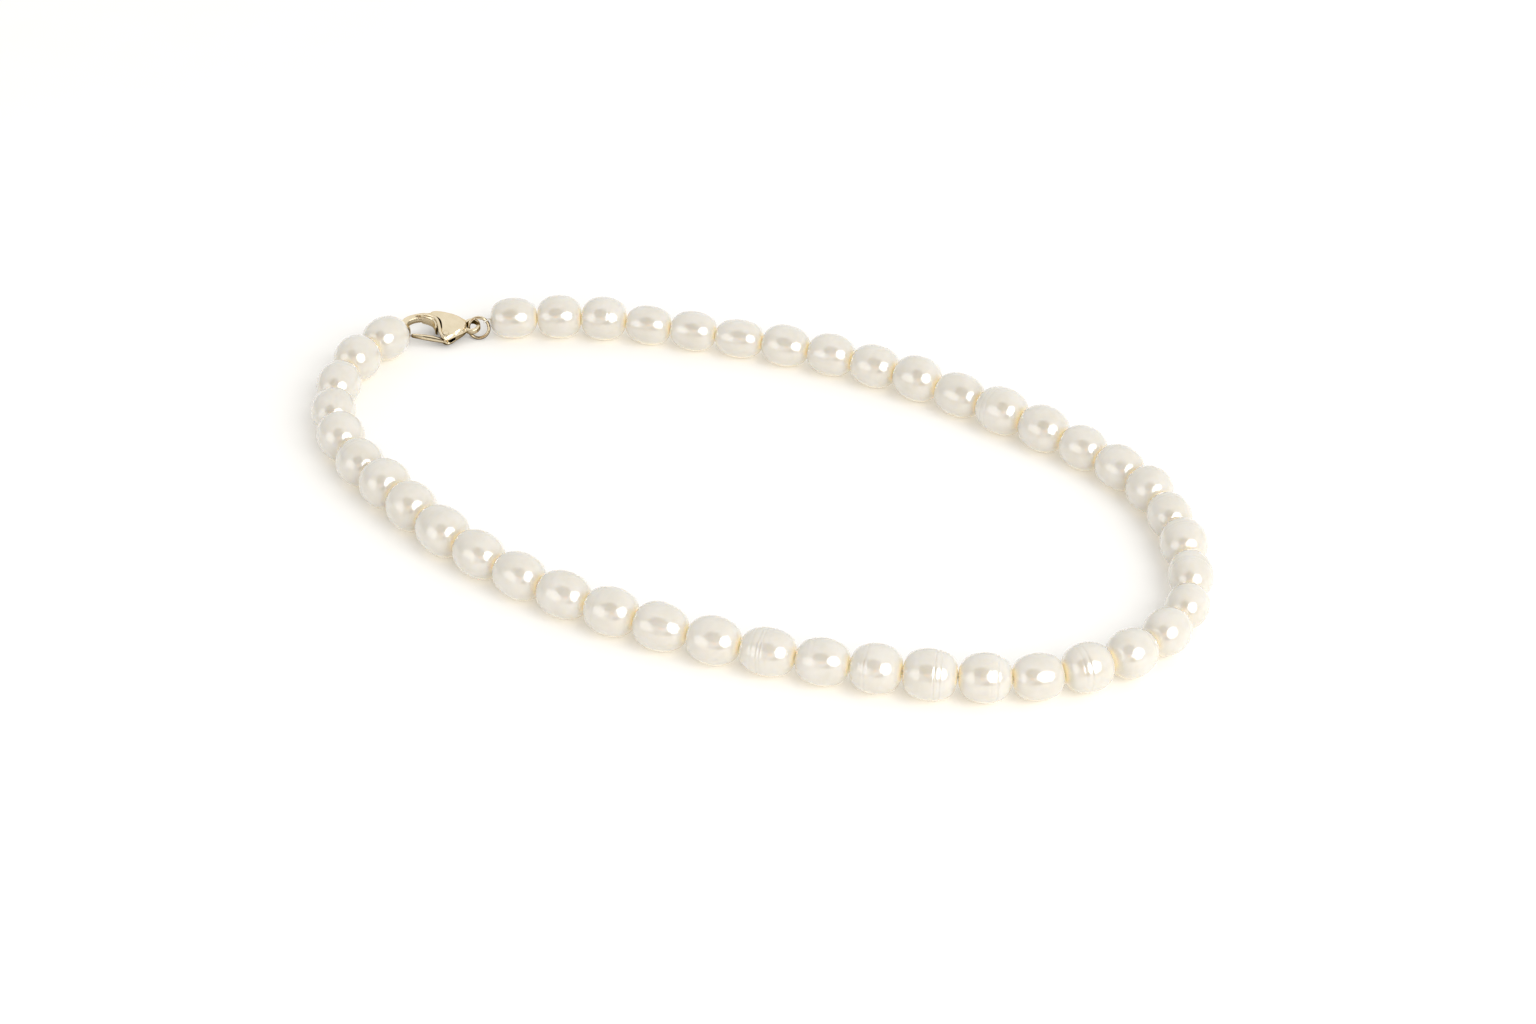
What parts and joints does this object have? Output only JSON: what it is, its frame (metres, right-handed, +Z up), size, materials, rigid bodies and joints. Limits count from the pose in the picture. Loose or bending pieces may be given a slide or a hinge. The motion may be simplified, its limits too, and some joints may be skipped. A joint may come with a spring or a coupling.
{
  "type": "pearl necklace",
  "caption": "Single strand of off-round white pearls strung close together, closed by a small pale-gold lobster claw clasp and rings.",
  "frame": {"origin": "on the surface that the necklace lies on, under the middle of the loop", "axes": "+Z up from the surface, +X along the longer side of the loop"},
  "size_m": [0.1816, 0.1017, 0.0094],
  "materials": {
    "nacre": "satin pearl lustre",
    "gold": "polished pale gold",
    "spring": "spring temper strip",
    "silk": "twisted silk"
  },
  "bodies": {
    "claw": {"claw_body": "gold", "lever_rivet": "gold", "lever_spring": "spring"},
    "lever": {"claw_lever": "gold"},
    "catch_ring": {"catch_ring": "gold"},
    "jump_ring": {"jump_ring": "gold"},
    "pearl_01": {"pearl_01": "nacre", "thread": "silk"},
    "pearl_02": {"pearl_02": "nacre"},
    "pearl_03": {"pearl_03": "nacre"},
    "pearl_04": {"pearl_04": "nacre"},
    "pearl_05": {"pearl_05": "nacre"},
    "pearl_06": {"pearl_06": "nacre"},
    "pearl_07": {"pearl_07": "nacre"},
    "pearl_08": {"pearl_08": "nacre"},
    "pearl_09": {"pearl_09": "nacre"},
    "pearl_10": {"pearl_10": "nacre"},
    "pearl_11": {"pearl_11": "nacre"},
    "pearl_12": {"pearl_12": "nacre"},
    "pearl_13": {"pearl_13": "nacre"},
    "pearl_14": {"pearl_14": "nacre"},
    "pearl_15": {"pearl_15": "nacre"},
    "pearl_16": {"pearl_16": "nacre"},
    "pearl_17": {"pearl_17": "nacre"},
    "pearl_18": {"pearl_18": "nacre"},
    "pearl_19": {"pearl_19": "nacre"},
    "pearl_20": {"pearl_20": "nacre"},
    "pearl_21": {"pearl_21": "nacre"},
    "pearl_22": {"pearl_22": "nacre"},
    "pearl_23": {"pearl_23": "nacre"},
    "pearl_24": {"pearl_24": "nacre"},
    "pearl_25": {"pearl_25": "nacre"},
    "pearl_26": {"pearl_26": "nacre"},
    "pearl_27": {"pearl_27": "nacre"},
    "pearl_28": {"pearl_28": "nacre"},
    "pearl_29": {"pearl_29": "nacre"},
    "pearl_30": {"pearl_30": "nacre"},
    "pearl_31": {"pearl_31": "nacre"},
    "pearl_32": {"pearl_32": "nacre"},
    "pearl_33": {"pearl_33": "nacre"},
    "pearl_34": {"pearl_34": "nacre"},
    "pearl_35": {"pearl_35": "nacre"},
    "pearl_36": {"pearl_36": "nacre"},
    "pearl_37": {"pearl_37": "nacre"},
    "pearl_38": {"pearl_38": "nacre"},
    "pearl_39": {"pearl_39": "nacre"},
    "pearl_40": {"pearl_40": "nacre"},
    "pearl_41": {"pearl_41": "nacre"},
    "pearl_42": {"pearl_42": "nacre"},
    "pearl_43": {"pearl_43": "nacre"},
    "pearl_44": {"pearl_44": "nacre"}
  },
  "joints": [
    {"name": "claw_lever_hinge", "type": "hinge", "parent": "claw", "child": "lever", "pos_m": [-0.07801, 0.02162, 0.00155], "axis": [-0.1208, 0.2477, -0.9613], "range_deg": [0, 24], "stiffness_Nm_per_rad": 0.002, "springref_deg": -20.05, "deforming": ["lever_spring"]},
    {"name": "catch_ring_swing", "type": "hinge", "parent": "claw", "child": "catch_ring", "pos_m": [-0.0855, 0.0185, 0.00168], "axis": [0, 0, 1], "range_deg": [-15, 0]},
    {"name": "jump_ring_swing", "type": "hinge", "parent": "claw", "child": "jump_ring", "pos_m": [-0.07544, 0.0259, 0.0022], "axis": [0, 0, 1], "range_deg": [0, 12]},
    {"name": "strand_bend_00", "type": "hinge", "parent": "jump_ring", "child": "pearl_01", "pos_m": [-0.07257, 0.02799, 0.00352], "axis": [0, 0, 1], "range_deg": [0, 20]},
    {"name": "strand_bend_01", "type": "hinge", "parent": "pearl_01", "child": "pearl_02", "pos_m": [-0.06346, 0.03288, 0.0042], "axis": [0, 0, 1], "range_deg": [0, 6], "deforming": ["thread"]},
    {"name": "strand_bend_02", "type": "hinge", "parent": "pearl_02", "child": "pearl_03", "pos_m": [-0.05549, 0.03691, 0.00432], "axis": [0, 0, 1], "range_deg": [0, 12]},
    {"name": "strand_bend_03", "type": "hinge", "parent": "pearl_03", "child": "pearl_04", "pos_m": [-0.04682, 0.03979, 0.00413], "axis": [0, 0, 1], "range_deg": [0, 10]},
    {"name": "strand_bend_04", "type": "hinge", "parent": "pearl_04", "child": "pearl_05", "pos_m": [-0.03779, 0.04178, 0.00392], "axis": [0, 0, 1], "range_deg": [0, 5]},
    {"name": "strand_bend_05", "type": "hinge", "parent": "pearl_05", "child": "pearl_06", "pos_m": [-0.02865, 0.04368, 0.0039], "axis": [0, 0, 1], "range_deg": [0, 5]},
    {"name": "strand_bend_06", "type": "hinge", "parent": "pearl_06", "child": "pearl_07", "pos_m": [-0.01906, 0.04542, 0.00398], "axis": [0, 0, 1], "range_deg": [0, 8]},
    {"name": "strand_bend_07", "type": "hinge", "parent": "pearl_07", "child": "pearl_08", "pos_m": [-0.00939, 0.04656, 0.00415], "axis": [0, 0, 1], "range_deg": [0, 8]},
    {"name": "strand_bend_08", "type": "hinge", "parent": "pearl_08", "child": "pearl_09", "pos_m": [0.00004, 0.047, 0.00422], "axis": [0, 0, 1], "range_deg": [0, 8]},
    {"name": "strand_bend_09", "type": "hinge", "parent": "pearl_09", "child": "pearl_10", "pos_m": [0.00938, 0.04676, 0.00432], "axis": [0, 0, 1], "range_deg": [0, 8]},
    {"name": "strand_bend_10", "type": "hinge", "parent": "pearl_10", "child": "pearl_11", "pos_m": [0.01887, 0.04579, 0.00428], "axis": [0, 0, 1], "range_deg": [0, 8]},
    {"name": "strand_bend_11", "type": "hinge", "parent": "pearl_11", "child": "pearl_12", "pos_m": [0.02856, 0.04407, 0.00432], "axis": [0, 0, 1], "range_deg": [0, 6]},
    {"name": "strand_bend_12", "type": "hinge", "parent": "pearl_12", "child": "pearl_13", "pos_m": [0.03809, 0.04204, 0.00447], "axis": [0, 0, 1], "range_deg": [0, 4]},
    {"name": "strand_bend_13", "type": "hinge", "parent": "pearl_13", "child": "pearl_14", "pos_m": [0.04751, 0.03998, 0.0043], "axis": [0, 0, 1], "range_deg": [0, 7]},
    {"name": "strand_bend_14", "type": "hinge", "parent": "pearl_14", "child": "pearl_15", "pos_m": [0.0562, 0.0375, 0.00415], "axis": [0, 0, 1], "range_deg": [0, 12]},
    {"name": "strand_bend_15", "type": "hinge", "parent": "pearl_15", "child": "pearl_16", "pos_m": [0.06455, 0.03381, 0.0042], "axis": [0, 0, 1], "range_deg": [0, 17]},
    {"name": "strand_bend_16", "type": "hinge", "parent": "pearl_16", "child": "pearl_17", "pos_m": [0.07134, 0.02866, 0.00415], "axis": [0, 0, 1], "range_deg": [0, 18]},
    {"name": "strand_bend_17", "type": "hinge", "parent": "pearl_17", "child": "pearl_18", "pos_m": [0.07694, 0.02183, 0.00417], "axis": [0, 0, 1], "range_deg": [0, 9]},
    {"name": "strand_bend_18", "type": "hinge", "parent": "pearl_18", "child": "pearl_19", "pos_m": [0.08207, 0.01426, 0.00415], "axis": [0, 0, 1], "range_deg": [0, 14]},
    {"name": "strand_bend_19", "type": "hinge", "parent": "pearl_19", "child": "pearl_20", "pos_m": [0.08604, 0.0054, 0.00395], "axis": [0, 0, 1], "range_deg": [0, 22]},
    {"name": "strand_bend_20", "type": "hinge", "parent": "pearl_20", "child": "pearl_21", "pos_m": [0.08704, -0.00335, 0.00402], "axis": [0, 0, 1], "range_deg": [0, 21]},
    {"name": "strand_bend_21", "type": "hinge", "parent": "pearl_21", "child": "pearl_22", "pos_m": [0.08532, -0.0123, 0.00422], "axis": [0, 0, 1], "range_deg": [0, 22]},
    {"name": "strand_bend_22", "type": "hinge", "parent": "pearl_22", "child": "pearl_23", "pos_m": [0.08093, -0.02039, 0.00432], "axis": [0, 0, 1], "range_deg": [0, 19]},
    {"name": "strand_bend_23", "type": "hinge", "parent": "pearl_23", "child": "pearl_24", "pos_m": [0.0749, -0.02683, 0.0042], "axis": [0, 0, 1], "range_deg": [0, 15]},
    {"name": "strand_bend_24", "type": "hinge", "parent": "pearl_24", "child": "pearl_25", "pos_m": [0.06774, -0.032, 0.0042], "axis": [0, 0, 1], "range_deg": [0, 14]},
    {"name": "strand_bend_25", "type": "hinge", "parent": "pearl_25", "child": "pearl_26", "pos_m": [0.05946, -0.0361, 0.00443], "axis": [0, 0, 1], "range_deg": [0, 12]},
    {"name": "strand_bend_26", "type": "hinge", "parent": "pearl_26", "child": "pearl_27", "pos_m": [0.05061, -0.03906, 0.00447], "axis": [0, 0, 1], "range_deg": [0, 9]},
    {"name": "strand_bend_27", "type": "hinge", "parent": "pearl_27", "child": "pearl_28", "pos_m": [0.04183, -0.04125, 0.00432], "axis": [0, 0, 1], "range_deg": [0, 6]},
    {"name": "strand_bend_28", "type": "hinge", "parent": "pearl_28", "child": "pearl_29", "pos_m": [0.0325, -0.04324, 0.0042], "axis": [0, 0, 1], "range_deg": [0, 6]},
    {"name": "strand_bend_29", "type": "hinge", "parent": "pearl_29", "child": "pearl_30", "pos_m": [0.0228, -0.0449, 0.00422], "axis": [0, 0, 1], "range_deg": [0, 7]},
    {"name": "strand_bend_30", "type": "hinge", "parent": "pearl_30", "child": "pearl_31", "pos_m": [0.01312, -0.04596, 0.00425], "axis": [0, 0, 1], "range_deg": [0, 8]},
    {"name": "strand_bend_31", "type": "hinge", "parent": "pearl_31", "child": "pearl_32", "pos_m": [0.00309, -0.0464, 0.0043], "axis": [0, 0, 1], "range_deg": [0, 8]},
    {"name": "strand_bend_32", "type": "hinge", "parent": "pearl_32", "child": "pearl_33", "pos_m": [-0.00655, -0.04619, 0.00428], "axis": [0, 0, 1], "range_deg": [0, 8]},
    {"name": "strand_bend_33", "type": "hinge", "parent": "pearl_33", "child": "pearl_34", "pos_m": [-0.01665, -0.04522, 0.0042], "axis": [0, 0, 1], "range_deg": [0, 9]},
    {"name": "strand_bend_34", "type": "hinge", "parent": "pearl_34", "child": "pearl_35", "pos_m": [-0.02633, -0.04346, 0.00422], "axis": [0, 0, 1], "range_deg": [0, 9]},
    {"name": "strand_bend_35", "type": "hinge", "parent": "pearl_35", "child": "pearl_36", "pos_m": [-0.036, -0.04077, 0.00432], "axis": [0, 0, 1], "range_deg": [0, 9]},
    {"name": "strand_bend_36", "type": "hinge", "parent": "pearl_36", "child": "pearl_37", "pos_m": [-0.04557, -0.03713, 0.0045], "axis": [0, 0, 1], "range_deg": [0, 7]},
    {"name": "strand_bend_37", "type": "hinge", "parent": "pearl_37", "child": "pearl_38", "pos_m": [-0.05384, -0.03346, 0.00465], "axis": [0, 0, 1], "range_deg": [0, 5]},
    {"name": "strand_bend_38", "type": "hinge", "parent": "pearl_38", "child": "pearl_39", "pos_m": [-0.06183, -0.02968, 0.00455], "axis": [0, 0, 1], "range_deg": [0, 8]},
    {"name": "strand_bend_39", "type": "hinge", "parent": "pearl_39", "child": "pearl_40", "pos_m": [-0.07024, -0.02498, 0.00447], "axis": [0, 0, 1], "range_deg": [0, 15]},
    {"name": "strand_bend_40", "type": "hinge", "parent": "pearl_40", "child": "pearl_41", "pos_m": [-0.07763, -0.01866, 0.00443], "axis": [0, 0, 1], "range_deg": [0, 18]},
    {"name": "strand_bend_41", "type": "hinge", "parent": "pearl_41", "child": "pearl_42", "pos_m": [-0.08323, -0.01084, 0.0043], "axis": [0, 0, 1], "range_deg": [0, 20]},
    {"name": "strand_bend_42", "type": "hinge", "parent": "pearl_42", "child": "pearl_43", "pos_m": [-0.08657, -0.00152, 0.0044], "axis": [0, 0, 1], "range_deg": [0, 22]},
    {"name": "strand_bend_43", "type": "hinge", "parent": "pearl_43", "child": "pearl_44", "pos_m": [-0.08688, 0.00769, 0.00443], "axis": [0, 0, 1], "range_deg": [0, 16]}
  ]
}
